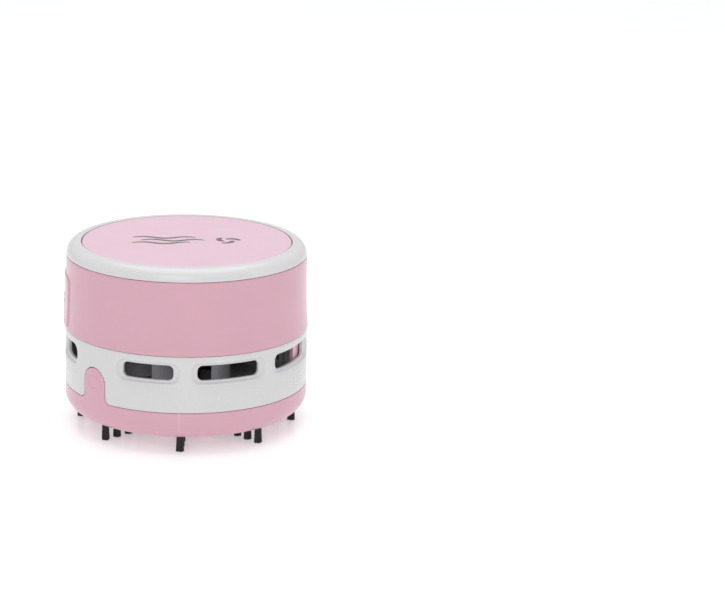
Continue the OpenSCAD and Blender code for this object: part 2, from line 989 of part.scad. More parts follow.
module holder_screws() {
    color("silver")
        in_bay()
            for (side = [0, 180])
                rotate(holder_post_az + side)
                    translate([holder_post_r, 0, 0])
                        screw(holder_z + holder_t, 7, -1);
}

module switch_body() {
    color("#c9c9cc")
        radial_block(switch_az, switch_out - switch_depth, switch_out, switch_w,
            panel_mid - switch_l / 2, panel_mid + switch_l / 2);
}

module switch_pins() {
    color("silver")
        for (i = [-1 : 1])
            radial_block(switch_az, switch_out - switch_depth - 2.2,
                switch_out - switch_depth, 0.6, panel_mid + i * 2.5 - 0.2,
                panel_mid + i * 2.5 + 0.2);
}

// The lever of the switch, in the socket of the knob
module switch_lever() {
    color("#2b2b2b")
        radial_block(switch_az, switch_out + 0.05, switch_out + 2.2, 1.4,
            panel_mid + knob_rest - 0.7, panel_mid + knob_rest + 0.7);
}

// Knob with three grip ribs outside and a flange behind the shell
module switch_knob() {
    mid = panel_mid + knob_rest;
    face = sleeve_top_r + panel_out;
    color("white")
        difference() {
            union() {
                radial_block(switch_az, flange_out - flange_t, face + knob_out - 0.4, knob_w,
                    mid - knob_h / 2, mid + knob_h / 2);
                radial_block(switch_az, flange_out - flange_t, flange_out, flange_w,
                    mid - knob_h / 2 - 1.5, mid + knob_h / 2 + 1.5);
                for (i = [-1 : 1])
                    radial_block(switch_az, face + knob_out - 0.9, face + knob_out, knob_w - 0.6,
                        mid + i * 2 - 0.4, mid + i * 2 + 0.4);
            }
            radial_block(switch_az, flange_out - flange_t - 1, switch_out + 2.4, 1.5,
                mid - 0.75, mid + 0.75);
        }
}

// Ceramic disc with two legs between the motor terminals
module noise_capacitor() {
    z = cap_top + 1.3;
    color("#c98a3d")
        in_bay() {
            translate([0, 0, z - 0.8])
                cylinder(r = 2.6, h = 1.6, $fn = 40);
            for (s = [-1, 1])
                translate([s * 2.4, 0, z])
                    rotate([0, s * 90, 0])
                        cylinder(r = 0.25, h = 4.6, $fn = 16);
        }
}

// Leads, in the frame of the battery bay
lead_r = 0.6;
lead_z = holder_z - 1.3;
lead_x = 16.5;
lead_slot = 5;
pin_y = switch_out - switch_depth - 2.8;
term_z = cap_top + 1.1;

module red_lead_battery() {
    color("red")
        in_bay()
            swept(through([[bay_x - 0.7, cell_y, lead_z], [22, 21, lead_z],
                [12, 27, lead_z], [4, pin_y - 1, lead_z + 0.4],
                [0.3, pin_y, panel_mid - 2.5]]), lead_r);
}

module red_lead_motor() {
    color("red")
        in_bay()
            swept(through([[-0.3, pin_y, panel_mid], [-6, pin_y - 2, panel_mid - 3],
                [-14, 24, lead_z], [-17, 12, lead_z - 0.5], [-lead_x, 1, lead_z],
                [-lead_x, 0, holder_z + 5], [-14, 0, cap_top - 1],
                [-10, 0, term_z + 0.1], [-8.2, 0, term_z]]), lead_r);
}

module black_lead() {
    color("#222222")
        in_bay()
            swept(through([[bay_x - 0.7, -cell_y, lead_z], [20, -12, lead_z],
                [lead_x, -4, lead_z], [lead_x, 0, holder_z - 0.5],
                [lead_x, 0, holder_z + 5], [14, 0, cap_top - 1],
                [10, 0, term_z + 0.1], [8.2, 0, term_z]]), lead_r);
}

dust_tray();
brush_row(0);  // brush_row_1
brush_row(1);  // brush_row_2
brush_row(2);  // brush_row_3
brush_row(3);  // brush_row_4
brush_row(4);  // brush_row_5
brush_row(5);  // brush_row_6
brush_row(6);  // brush_row_7
brush_row(7);  // brush_row_8
tray_seal();
filter_frame();
filter_mesh();
vent_ring();
motor_deck();
upper_shell();
color_sleeve();
battery_lid();
battery_holder();
battery_1();
battery_2();
battery_springs();
terminal_plates();
bridge_plate();
motor_can();
motor_end_cap();
motor_magnets();
motor_armature();
motor_windings();
motor_commutator();
motor_brushes();
motor_terminals();
motor_bearings();
motor_shaft();
motor_washer();
impeller();
housing_screws();
holder_screws();
switch_body();
switch_pins();
switch_lever();
switch_knob();
noise_capacitor();
red_lead_battery();
red_lead_motor();
black_lead();
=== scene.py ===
# %% [markdown]
# # A round desk dust collector
# A small battery vacuum stands on 32 bristle tufts. A pink dust tray, a white vent ring, a
# pink sleeve, a white rounded shoulder and a pink lid are stacked on one upright axis, so
# almost every outside piece is a turned shape with a few openings. The frame brings the
# imported model. This lesson gives the pieces that are seen their soft edges, their openings
# and their finishes, and keeps each one on the body that carries it.

# %% Load the frame
import math
import random

import bmesh
import bpy
import numpy as np
from mathutils import Matrix, Vector


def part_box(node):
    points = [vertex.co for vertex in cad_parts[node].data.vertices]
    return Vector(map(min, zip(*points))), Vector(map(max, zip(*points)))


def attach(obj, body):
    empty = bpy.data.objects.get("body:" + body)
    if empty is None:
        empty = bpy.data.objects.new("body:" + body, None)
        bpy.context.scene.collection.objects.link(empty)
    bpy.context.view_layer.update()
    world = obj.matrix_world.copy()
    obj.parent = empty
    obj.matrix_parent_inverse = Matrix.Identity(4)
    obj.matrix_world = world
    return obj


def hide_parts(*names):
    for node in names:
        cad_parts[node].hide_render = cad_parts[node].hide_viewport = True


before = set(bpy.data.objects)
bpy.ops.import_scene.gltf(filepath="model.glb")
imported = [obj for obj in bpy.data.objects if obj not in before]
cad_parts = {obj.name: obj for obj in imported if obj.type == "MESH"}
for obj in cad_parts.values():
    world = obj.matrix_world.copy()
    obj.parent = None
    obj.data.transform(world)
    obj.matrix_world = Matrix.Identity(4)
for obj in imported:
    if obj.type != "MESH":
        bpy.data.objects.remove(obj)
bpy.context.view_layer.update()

# %% [markdown]
# ## Sizes from the frame
# The frame is in metres. Small round parts are easier to think about in millimetres, so
# every length below is in millimetres and is scaled once, when a mesh is made. The radii
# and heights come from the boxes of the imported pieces, so nothing has to be fitted.

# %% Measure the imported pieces
MM = 0.001


def measure(node):
    """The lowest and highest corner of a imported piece, in millimetres."""
    low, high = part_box(node)
    return np.array(low) / MM, np.array(high) / MM


tray_high = measure("dust_tray")[1]
ring_low, ring_high = measure("vent_ring")
sleeve_high = measure("color_sleeve")[1]
shell_low, shell_high = measure("upper_shell")
lid_high = measure("battery_lid")[1]
print("outside diameter", round(2 * sleeve_high[0], 1), "height", round(shell_high[2], 1))

# %% [markdown]
# ## Camera
# The object is seen from a little above, through a long lens, so that its circles become
# flat ellipses. The camera is aimed at a point on the axis and then turned a little to
# the right, which puts the object in the left part of the picture.

# %% Place the camera
view_azimuth = math.radians(-41.8)
view_elevation = math.radians(15.97)
view_distance = 0.918
aim = Vector((0, 0, 0.035))
turn_right, turn_up, roll = math.radians(3.84), math.radians(0.505), math.radians(0.26)
back = Vector((math.sin(view_azimuth) * math.cos(view_elevation),
               -math.cos(view_azimuth) * math.cos(view_elevation),
               math.sin(view_elevation)))
camera_data = bpy.data.cameras.new("camera")
camera_data.lens = 130.0
camera = bpy.data.objects.new("camera", camera_data)
bpy.context.scene.collection.objects.link(camera)
camera.rotation_mode = "QUATERNION"
camera.location = aim + back * view_distance
turned = (Matrix.Rotation(-turn_right, 3, "Y") @ Matrix.Rotation(turn_up, 3, "X")
          @ Matrix.Rotation(roll, 3, "Z"))
look = (-back).to_track_quat("-Z", "Y").to_matrix() @ turned
camera.rotation_quaternion = look.to_quaternion()
bpy.context.scene.camera = camera
print("camera at", [round(v, 3) for v in camera.location])

# %% [markdown]
# ## Finishes
# A moulded plastic is never one flat colour. Light sinks a little way into it, its gloss
# varies where it has been touched, and its skin has a very fine orange-peel texture. One
# function makes such a finish, so that the pink, white, grey and black plastics share one
# recipe and differ only in colour, gloss and texture.

# %% Node helpers
def new_material(name):
    """An empty material with its output and its main shader."""
    made = bpy.data.materials.new(name)
    made.use_nodes = True
    tree = made.node_tree
    shader = tree.nodes["Principled BSDF"]
    return made, tree, shader


def noise(tree, scale, detail=3.0):
    """Noise in object space, scale in repeats per metre."""
    place = tree.nodes.new("ShaderNodeTexCoord")
    pattern = tree.nodes.new("ShaderNodeTexNoise")
    pattern.inputs["Scale"].default_value = scale
    pattern.inputs["Detail"].default_value = detail
    tree.links.new(place.outputs["Object"], pattern.inputs["Vector"])
    return pattern.outputs["Fac"]


def spread(tree, value, low, high, start=0.3, end=0.7):
    """Maps a pattern from start..end to low..high."""
    remap = tree.nodes.new("ShaderNodeMapRange")
    remap.inputs["From Min"].default_value = start
    remap.inputs["From Max"].default_value = end
    remap.inputs["To Min"].default_value = low
    remap.inputs["To Max"].default_value = high
    tree.links.new(value, remap.inputs["Value"])
    return remap.outputs["Result"]


def two_colours(tree, value, first, second):
    """A colour that runs from first to second with value."""
    blend = tree.nodes.new("ShaderNodeMix")
    blend.data_type = "RGBA"
    blend.inputs["A"].default_value = (*first, 1)
    blend.inputs["B"].default_value = (*second, 1)
    tree.links.new(value, blend.inputs["Factor"])
    return blend.outputs["Result"]


def texture_bump(tree, shader, height, strength, distance):
    """Fine relief on the shader's surface, distance in metres."""
    bump = tree.nodes.new("ShaderNodeBump")
    bump.inputs["Strength"].default_value = strength
    bump.inputs["Distance"].default_value = distance
    tree.links.new(height, bump.inputs["Height"])
    tree.links.new(bump.outputs["Normal"], shader.inputs["Normal"])


def shade(colour, factor):
    return tuple(channel * factor for channel in colour)


# %% Moulded plastic
def moulded(name, colour, rough, grain=1800.0, relief=0.00001, soft=0.0, highlight_gain=1.06):
    """Moulded plastic: colour, roughness, grain size, relief in metres, depth of glow, gain of a
    painted highlight on convex edges.
    """
    made, tree, shader = new_material(name)
    broad = noise(tree, 60.0)
    fine = noise(tree, grain, 4.0)
    # Convex edges, found by pointiness, are painted lighter: a painted edge highlight.
    edge = tree.nodes.new("ShaderNodeNewGeometry").outputs["Pointiness"]
    edge_highlight = spread(tree, edge, 0.0, 1.0, 0.53, 0.60)
    body = two_colours(tree, spread(tree, broad, 0, 1), shade(colour, 0.985), shade(colour, 1.01))
    tint = tree.nodes.new("ShaderNodeMix")
    tint.data_type = "RGBA"
    tint.inputs["B"].default_value = (*[min(1, c * highlight_gain) for c in colour], 1)
    tree.links.new(edge_highlight, tint.inputs["Factor"])
    tree.links.new(body, tint.inputs["A"])
    tree.links.new(tint.outputs["Result"], shader.inputs["Base Color"])
    tree.links.new(spread(tree, fine, rough * 0.85, rough * 1.2), shader.inputs["Roughness"])
    texture_bump(tree, shader, fine, 0.35, relief)
    shader.inputs["IOR"].default_value = 1.5
    if soft:
        shader.inputs["Subsurface Weight"].default_value = soft
        shader.inputs["Subsurface Radius"].default_value = (1.0, 0.5, 0.6)
        shader.inputs["Subsurface Scale"].default_value = 0.0012
    return made


pink = (0.655, 0.370, 0.452)
white = (0.655, 0.645, 0.655)
sleeve_finish = moulded("sleeve gloss pink", pink, 0.22, relief=0.000004, soft=0.12)
tray_finish = moulded("tray pink", shade(pink, 1.02), 0.22, soft=0.12)
# The lid is the sleeve pink made brighter and paler: painted light from above and a painted white
# sheen.
lid_finish = moulded("lid pink with painted top light", (0.75, 0.52, 0.62), 0.34, grain=2600.0, soft=0.10)
white_finish = moulded("shell white", white, 0.24, soft=0.10)
shoulder_finish = moulded("shoulder white", shade(white, 1.02), 0.20, soft=0.10)
black_finish = moulded("deck black", (0.022, 0.022, 0.024), 0.45, grain=900.0, relief=0.00003)
fan_finish = moulded("fan grey", (0.52, 0.50, 0.54), 0.32, grain=1200.0)
print("moulded finishes:", [m.name for m in bpy.data.materials])

# %% [markdown]
# The inside holds metal, rubber, wire and cells. Metal shows drawn or brushed lines, which
# are noise stretched along one axis. Rubber and wire insulation are soft and dull. They
# are seen through the vents, through the intake and when a piece is taken off.

# %% Metals and the rest
def drawn_metal(name, colour, rough, stretch=(1, 1, 12), grain=2500.0):
    """Bright metal with fine lines square to the longest stretch."""
    made, tree, shader = new_material(name)
    place = tree.nodes.new("ShaderNodeTexCoord")
    mapping = tree.nodes.new("ShaderNodeMapping")
    mapping.inputs["Scale"].default_value = stretch
    lines = tree.nodes.new("ShaderNodeTexNoise")
    lines.inputs["Scale"].default_value = grain / max(stretch)
    tree.links.new(place.outputs["Object"], mapping.inputs["Vector"])
    tree.links.new(mapping.outputs["Vector"], lines.inputs["Vector"])
    value = lines.outputs["Fac"]
    tree.links.new(two_colours(tree, spread(tree, value, 0, 1), shade(colour, 0.85), colour),
                   shader.inputs["Base Color"])
    tree.links.new(spread(tree, value, rough * 0.7, rough * 1.3), shader.inputs["Roughness"])
    texture_bump(tree, shader, value, 0.3, 0.00001)
    shader.inputs["Metallic"].default_value = 1.0
    return made


inner_finishes = {
    "motor_deck": black_finish,
    "battery_holder": black_finish,
    "switch_lever": black_finish,
    "impeller": fan_finish,
    "motor_end_cap": white_finish,
    "filter_frame": white_finish,
    "filter_mesh": moulded("filter net", (0.02, 0.02, 0.021), 0.85, grain=3500.0, relief=0.0001),
    "tray_seal": moulded("seal foam", (0.03, 0.03, 0.032), 0.9, grain=2500.0, relief=0.0001),
    "motor_washer": moulded("washer rubber", (0.025, 0.025, 0.025), 0.7),
    "battery_1": moulded("cell wrap", (0.045, 0.13, 0.22), 0.28, grain=1500.0),
    "battery_2": moulded("cell wrap", (0.045, 0.13, 0.22), 0.28, grain=1500.0),
    "battery_springs": drawn_metal("spring wire", (0.66, 0.65, 0.62), 0.25),
    "terminal_plates": drawn_metal("contact nickel", (0.68, 0.66, 0.62), 0.28),
    "bridge_plate": drawn_metal("bridge nickel", (0.68, 0.66, 0.62), 0.30, (12, 1, 1)),
    "motor_can": drawn_metal("motor can steel", (0.60, 0.60, 0.58), 0.32),
    "motor_shaft": drawn_metal("ground steel", (0.62, 0.62, 0.62), 0.15),
    "motor_magnets": moulded("ferrite", (0.05, 0.05, 0.055), 0.6, grain=3000.0),
    "motor_armature": drawn_metal("laminations", (0.36, 0.36, 0.38), 0.4, (1, 1, 30)),
    "motor_windings": drawn_metal("copper wire", (0.62, 0.26, 0.11), 0.3, (1, 1, 20)),
    "motor_commutator": drawn_metal("commutator copper", (0.70, 0.38, 0.2), 0.22),
    "motor_brushes": drawn_metal("brush leaf", (0.72, 0.55, 0.22), 0.25),
    "motor_terminals": drawn_metal("terminal brass", (0.72, 0.55, 0.22), 0.28),
    "motor_bearings": drawn_metal("sintered bronze", (0.5, 0.31, 0.14), 0.5),
    "housing_screws": drawn_metal("screw zinc", (0.58, 0.58, 0.57), 0.3),
    "holder_screws": drawn_metal("screw zinc bright", (0.60, 0.60, 0.59), 0.28),
    "switch_body": drawn_metal("switch case", (0.60, 0.60, 0.60), 0.35),
    "switch_pins": drawn_metal("pin tin", (0.70, 0.70, 0.68), 0.25),
    "noise_capacitor": moulded("dipped ceramic", (0.50, 0.22, 0.05), 0.3),
    "red_lead_battery": moulded("red insulation", (0.38, 0.015, 0.015), 0.4),
    "red_lead_motor": moulded("red insulation 2", (0.38, 0.015, 0.015), 0.4),
    "black_lead": moulded("black insulation", (0.02, 0.02, 0.02), 0.4),
}


def finish_node(node, finish):
    """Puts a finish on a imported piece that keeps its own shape."""
    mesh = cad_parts[node].data
    mesh.materials.clear()
    mesh.materials.append(finish)


for inner_node, inner_finish in inner_finishes.items():
    finish_node(inner_node, inner_finish)
print("inner pieces finished:", len(inner_finishes))

# %% [markdown]
# ## Turned pieces and swept edges
# Most of the outside is turned, so a piece is a stack of rings. Where a vent or a release
# tab interrupts the wall, the wall is unrolled into angle and height, laid out as loops
# that grow from the opening to the edge of its cell, and rolled up again. Every edge then
# gets a true rounding, which a cut made with a sharp tool would not have.

# %% Points and skins
def polar(radius, degrees, z):
    """Points from radius, angle and height, each a number or an array."""
    radius, degrees, z = np.broadcast_arrays(radius, degrees, z)
    angle = np.radians(degrees)
    return np.stack([radius * np.cos(angle), radius * np.sin(angle), z], axis=-1)


class Skin:
    """Collects points and faces in millimetres and welds them into one mesh."""

    def __init__(self):
        self.points, self.faces = [], []

    def rows(self, rows, closed=True):
        """Skins a stack of rows of points; a closed row joins its end to its start."""
        rows = np.array(rows, float)
        count, length = rows.shape[:2]
        first = len(self.points)
        self.points.extend(map(tuple, rows.reshape(-1, 3)))
        for i in range(count - 1):
            low_row = first + i * length
            for j in range(length if closed else length - 1):
                k = (j + 1) % length
                self.faces.append((low_row + j, low_row + k,
                                   low_row + length + k, low_row + length + j))
        return self

    def capped(self, rows, closed=False):
        """Skins a bar from its rows and closes its two ends."""
        self.rows(rows, closed)
        ends = (rows[0], rows[-1]) if closed else zip(*[(r[0], r[-1]) for r in rows[:-1]])
        for outline in ends:
            first = len(self.points)
            self.points.extend(map(tuple, outline))
            self.faces.append(tuple(range(first, first + len(outline))))
        return self

    def turned(self, profile, angles):
        """A closed turned solid from a closed section of (radius, height) points."""
        section = list(profile) + [profile[0]]
        return self.rows([polar(r, angles, z) for r, z in section])

    def piece(self, name, finish, body, slot):
        """Welds the skin and makes it a piece that rides on a body."""
        mesh = bpy.data.meshes.new(name)
        mesh.from_pydata([tuple(c * MM for c in p) for p in self.points], [], self.faces)
        work = bmesh.new()
        work.from_mesh(mesh)
        bmesh.ops.remove_doubles(work, verts=work.verts, dist=2e-6)
        bmesh.ops.dissolve_degenerate(work, edges=work.edges, dist=1e-7)
        bmesh.ops.recalc_face_normals(work, faces=work.faces)
        work.to_mesh(mesh)
        work.free()
        mesh.polygons.foreach_set("use_smooth", [True] * len(mesh.polygons))
        mesh.set_sharp_from_angle(angle=math.radians(38))
        mesh.materials.append(finish)
        made = bpy.data.objects.new(name, mesh)
        bpy.context.scene.collection.objects.link(made)
        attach(made, body)
        print(name, len(mesh.polygons), "faces")
        return made


def arc(centre_r, centre_z, radius, start, end, steps=8):
    """Section points along an arc, angles in degrees."""
    return [(centre_r + radius * math.cos(math.radians(a)),
             centre_z + radius * math.sin(math.radians(a)))
            for a in np.linspace(start, end, steps + 1)]


def block_corners(azimuth, inner, outer, width, bottom, top):
    """The corners of a block that points away from the axis, as a low and a high ring."""
    turn = Matrix.Rotation(math.radians(azimuth), 3, "Z")
    half = width / 2
    rings = []
    for z in (bottom, top):
        rings.append([turn @ Vector((x, y, z)) for x, y in
                      ((inner, -half), (outer, -half), (outer, half), (inner, half))])
    return rings


def cut_block(piece, azimuth, inner, outer, width, bottom, top):
    """Cuts a radial block out of a piece and keeps the result as plain geometry."""
    low_ring, high_ring = block_corners(azimuth, inner, outer, width, bottom, top)
    mesh = bpy.data.meshes.new("cutter")
    mesh.from_pydata([v * MM for v in (*low_ring, *high_ring)], [],
                     [(3, 2, 1, 0), (4, 5, 6, 7), (0, 1, 5, 4), (1, 2, 6, 5),
                      (2, 3, 7, 6), (3, 0, 4, 7)])
    cutter = bpy.data.objects.new("cutter", mesh)
    bpy.context.scene.collection.objects.link(cutter)
    cut = piece.modifiers.new("window", "BOOLEAN")
    cut.object, cut.solver = cutter, "EXACT"
    shaped = bpy.data.meshes.new_from_object(
        piece.evaluated_get(bpy.context.evaluated_depsgraph_get()))
    piece.modifiers.clear()
    piece.data = shaped
    bpy.data.objects.remove(cutter)


round_angles = np.arange(0, 360, 1.5)

# %% [markdown]
# ## Shoulder and inner shell
# The white shoulder is the top of the inner shell. Its section is one generous quarter
# round, then a thin inner rim, then the ledge that the lid sits on. A turned section
# gives the soft highlight that runs all round it.

# %% Turn the shoulder
shell_r, shoulder_top = shell_high[0], shell_high[2]
shoulder_round = 4.2
shoulder_low = shoulder_top - shoulder_round
rim_in = lid_high[0] + 0.3
tube_out, tube_in = 40.1, 39.0
ledge_top = 62.3
ledge_low = ledge_top - 1.3
soft = 0.25
shoulder_section = (
    [(tube_in, shell_low[2]), (tube_out, shell_low[2]), (tube_out, shoulder_low),
     (shell_r - soft, shoulder_low)]
    + arc(shell_r - soft, shoulder_low + soft, soft, -90, 0, 4)
    + arc(shell_r - shoulder_round, shoulder_low, shoulder_round, 8, 90, 18)
    + arc(rim_in + soft, shoulder_top - soft, soft, 90, 180, 4)
    + [(rim_in, ledge_top), (rim_in - 2.2, ledge_top), (rim_in - 2.2, ledge_low),
       (tube_in, ledge_low)])
shoulder = Skin().turned(shoulder_section, round_angles).piece(
    "shoulder_shell", shoulder_finish, "housing", "white_shell")
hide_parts("upper_shell")

# %% [markdown]
# ## Sleeve
# The pink sleeve is a straight tube that flares to a thin lip where it meets the vent
# ring. A low panel round the switch stands half a millimetre proud, with rounded corners.
# It is made as relief on the turned wall, so its edge melts into the wall as a moulding
# does. Two snap legs reach down behind the vents.

# %% Turn the sleeve
lip_r, sleeve_top = 42.5, sleeve_high[2]
sleeve_z = 34.95
sleeve_in = 40.25
switch_azimuth = 140.5
panel_middle, panel_half = 45.0, 9.15
panel_half_width = math.radians(13.5) * shell_r
panel_out, panel_corner, panel_edge = 0.5, 2.2, 0.5


def rounded_mask(across, up, half_w, half_h, corner, edge):
    """1 inside a rounded rectangle, 0 outside it, with a soft step of that width."""
    dx = np.abs(across) - half_w + corner
    dz = np.abs(up) - half_h + corner
    away = np.hypot(np.maximum(dx, 0), np.maximum(dz, 0)) + np.minimum(np.maximum(dx, dz), 0)
    step = np.clip((corner - away) / edge, 0, 1)
    return step * step * (3 - 2 * step)


def sleeve_at(z):
    return shell_r + (lip_r - shell_r) * ((sleeve_top - z) / (sleeve_top - sleeve_z)) ** 4


panel_angles = np.concatenate([np.arange(-16, -11, 0.25), np.arange(-11, 11, 1.0),
                               np.arange(11, 16, 0.25)]) + switch_azimuth
sleeve_angles = np.sort(np.concatenate([
    panel_angles, np.arange(switch_azimuth + 16, switch_azimuth + 344, 1.5)]))
sleeve_heights = np.concatenate([
    np.arange(sleeve_z + 0.3, 38.5, 0.25), np.arange(38.5, 51.5, 1.0),
    np.arange(51.5, 55, 0.25), np.arange(55, sleeve_top - 0.3, 0.8), [sleeve_top - 0.3]])
across = np.radians(sleeve_angles - switch_azimuth) * shell_r
sleeve_rows = [polar(sleeve_in, sleeve_angles, sleeve_z),
               polar(lip_r - 0.3, sleeve_angles, sleeve_z),
               polar(lip_r - 0.09, sleeve_angles, sleeve_z + 0.09)]
for height in sleeve_heights:
    relief = panel_out * rounded_mask(across, height - panel_middle, panel_half_width,
                                      panel_half, panel_corner, panel_edge)
    sleeve_rows.append(polar(sleeve_at(height) + relief, sleeve_angles, height))
sleeve_rows += [polar(shell_r - 0.09, sleeve_angles, sleeve_top - 0.09),
                polar(shell_r - 0.3, sleeve_angles, sleeve_top),
                polar(sleeve_in, sleeve_angles, sleeve_top)]
sleeve_rows.append(sleeve_rows[0])
sleeve_skin = Skin().rows(sleeve_rows)
for leg_azimuth in (122, 302):
    leg_angles = leg_azimuth + np.linspace(-6, 6, 9)
    leg_section = [(38.45, 24.9), (38.75, 24.6), (39.35, 24.6), (39.65, 24.9),
                   (39.65, 35.0), (40.3, 35.0), (40.3, 37.5), (38.45, 37.5)]
    sleeve_skin.capped([polar(r, leg_angles, z) for r, z in leg_section + leg_section[:1]])
sleeve = sleeve_skin.piece("sleeve", sleeve_finish, "housing", "pink_sleeve")
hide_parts("color_sleeve")

# %% [markdown]
# ## Switch window and knob
# The knob slides in a slot through the sleeve and the shell. The slot is cut with a
# block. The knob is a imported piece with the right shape, so it only gets broken edges.

# %% Cut the window and soften the knob
window_width = 5.5
window_half = 5.05
for wall in (sleeve, shoulder):
    cut_block(wall, switch_azimuth, 36, 45, window_width,
              panel_middle - window_half, panel_middle + window_half)
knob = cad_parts["switch_knob"]
finish_node("switch_knob", shoulder_finish)
welded = knob.modifiers.new("weld", "WELD")
welded.merge_threshold = 1e-6
softened = knob.modifiers.new("broken edges", "BEVEL")
softened.width, softened.segments, softened.limit_method = 0.00018, 3, "ANGLE"
softened.angle_limit = math.radians(40)

# %% [markdown]
# ## Lid
# The lid is a thin disc that drops into the shoulder with an even gap all round. Four
# short legs under it grip the shell. Its face is flat and satin, with a small printed
# mark: three air strokes and an open whirl, which say what the machine does.

# %% Turn the lid
lid_r, lid_top = lid_high[0], lid_high[2]
lid_under = 62.32
lid_edge = 0.45
lid_section = ([(0, lid_under), (lid_r * 0.5, lid_under), (lid_r - 0.2, lid_under),
                (lid_r, lid_under + 0.2)]
               + arc(lid_r - lid_edge, lid_top - lid_edge, lid_edge, 0, 90, 5)
               + [(r, lid_top) for r in (lid_r - 1, lid_r * 0.8, lid_r * 0.4, 0)])
lid_skin = Skin().rows([polar(r, round_angles, z) for r, z in lid_section])
for leg_azimuth in switch_azimuth + np.array((-90, 0, 90, 180)):
    leg_angles = leg_azimuth + np.linspace(-6, 6, 7)
    leg_section = [(32.9, 62.5), (32.9, 58.3), (33.2, 57.9), (33.9, 57.9), (34.2, 58.3),
                   (34.2, 62.5)]
    lid_skin.capped([polar(r, leg_angles, z) for r, z in leg_section + leg_section[:1]])
lid = lid_skin.piece("lid_disc", lid_finish, "battery_lid", "pink_lid")
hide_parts("battery_lid")

# %% Print the mark
ink = moulded("grey ink", (0.16, 0.145, 0.155), 0.5, grain=3000.0)
mark_turn = Matrix.Rotation(view_azimuth, 3, "Z")
ink_height = 0.02


def stroke(skin, points, width):
    """A flat printed stroke with round ends along points on the lid."""
    points = np.array(points, float)
    along = np.gradient(points, axis=0)
    along /= np.linalg.norm(along, axis=1)[:, None]
    side = np.stack([-along[:, 1], along[:, 0]], axis=1)
    taper = np.sin(np.linspace(0.12, math.pi - 0.12, len(points))) ** 0.35
    rows = []
    for offset, level in ((-1, 0.0), (-0.85, 1.0), (0.85, 1.0), (1, 0.0)):
        flat = points + side * (offset * width / 2 * taper)[:, None]
        rows.append([tuple(mark_turn @ Vector((x, y, lid_top - 0.01 + level * ink_height)))
                     for x, y in flat])
    rows.append(rows[0])
    skin.rows(rows, closed=False)


mark_skin = Skin()
for line, (start, end, lift) in enumerate(((-19, 3, 4.2), (-16, 6, 0.4), (-19, 1, -3.4))):
    x = np.linspace(start, end, 40)
    stroke(mark_skin, np.stack([x, lift + 1.1 * np.sin((x - start) * 0.42)], 1), 2.0)
whirl_x, whirl_y, whirl_r = 14.0, 0.6, 4.2
for blade in range(3):
    sweep = np.radians(np.linspace(0, 105, 24) + blade * 120)
    radius = whirl_r * np.linspace(1.0, 0.35, 24)
    stroke(mark_skin, np.stack([whirl_x + radius * np.cos(sweep),
                                whirl_y + radius * np.sin(sweep)], 1), 2.2)
mark_skin.piece("lid_mark", ink, "battery_lid", "grey_plastic")

# %% [markdown]
# ## Vent ring
# Eight long vents run round the white ring, four on each side between the two release
# tabs. Each lies in a shallow dish. The ring is laid out in ten cells: eight with a vent
# and two with the arched notch of a tab.

# %% Loops of one cell
ring_r = ring_high[0]
ring_wall_in = ring_r - 2.2
ring_z, ring_top = ring_low[2], ring_high[2]
side_steps = 36
per_mm = 180 / math.pi / ring_r
lip_soft = 0.25
cell_low, cell_high = ring_z + lip_soft, ring_top - lip_soft


def straight(start, end, steps):
    """Steps from start towards end, without the end itself."""
    return [tuple(np.array(start) + (np.array(end) - start) * i / steps) for i in range(steps)]


def cell_edge(left, right):
    """The outline of a cell in angle and height, from its lower left corner."""
    corners = [(left, cell_low), (right, cell_low), (right, cell_high), (left, cell_high)]
    points = []
    for i in range(4):
        points += straight(corners[i], corners[(i + 1) % 4], side_steps)
    return np.array(points)


def rounded_loop(middle, half_w, half_h, corner, arc_steps=7):
    """A rounded rectangle whose sides run from mid-corner to mid-corner."""
    x, y = half_w - corner, half_h - corner
    centres = [(-x, -y), (x, -y), (x, y), (-x, y)]
    points = []
    for i in range(4):
        here, there = centres[i], centres[(i + 1) % 4]
        begin = 225 + 90 * i
        points += arc(*here, corner, begin, begin + 45, arc_steps)[:-1]
        flat = math.radians(begin + 45)
        shift = (corner * math.cos(flat), corner * math.sin(flat))
        points += straight(np.add(here, shift), np.add(there, shift),
                           side_steps - 2 * arc_steps)
        points += arc(*there, corner, begin + 45, begin + 90, arc_steps)[:-1]
    loop = np.array(points)
    return np.stack([middle[0] + loop[:, 0] * per_mm, middle[1] + loop[:, 1]], axis=1)


def rolled(loop, radius):
    return polar(radius, loop[:, 0], loop[:, 1])


# %% Cells with a vent
vent_middle, vent_height, dish = 28.85, 5.5, 1.0
vent_spans = [(13.5, 45.5), (50, 88), (92, 130), (134.5, 166.5)]
notch_half = 11.5
cell_bounds = [notch_half, 47.75, 90, 132.25, 180 - notch_half]
dish_inset = 3.2 / per_mm
dish_steps = [(0, 0), (0.05, 0.03), (0.13, 0.14), (0.25, 0.42), (0.38, 0.72),
              (0.52, 0.9), (0.75, 0.98), (0.93, 1.0)]


def vent_cell(skin, left, right, start, end):
    """One cell of wall with its dished vent, outside, walls and inside."""
    edge = cell_edge(left, right)
    middle = ((start + end) / 2, vent_middle)
    half_w = (end - start) / 2 / per_mm
    outer = rounded_loop(middle, half_w, vent_height / 2 + dish, 3.2)
    inner = rounded_loop(middle, half_w - dish_inset, vent_height / 2, 2.0)
    tight = rounded_loop(middle, half_w - dish_inset - 0.12, vent_height / 2 - 0.12, 1.9)
    rows = [rolled(edge, ring_r), rolled(edge * 0.5 + outer * 0.5, ring_r)]
    rows += [rolled(outer + (inner - outer) * t, ring_r - dish * depth)
             for t, depth in dish_steps]
    rows += [rolled(inner, ring_r - dish - 0.05), rolled(tight, ring_r - dish - 0.2),
             rolled(tight, ring_wall_in + 0.1), rolled(inner, ring_wall_in),
             rolled(edge, ring_wall_in)]
    skin.rows(rows)


# %% Notch of a release tab
tab_half, tab_top, tab_root = 5.25, tray_high[2], 2.5
slide_gap = 0.25


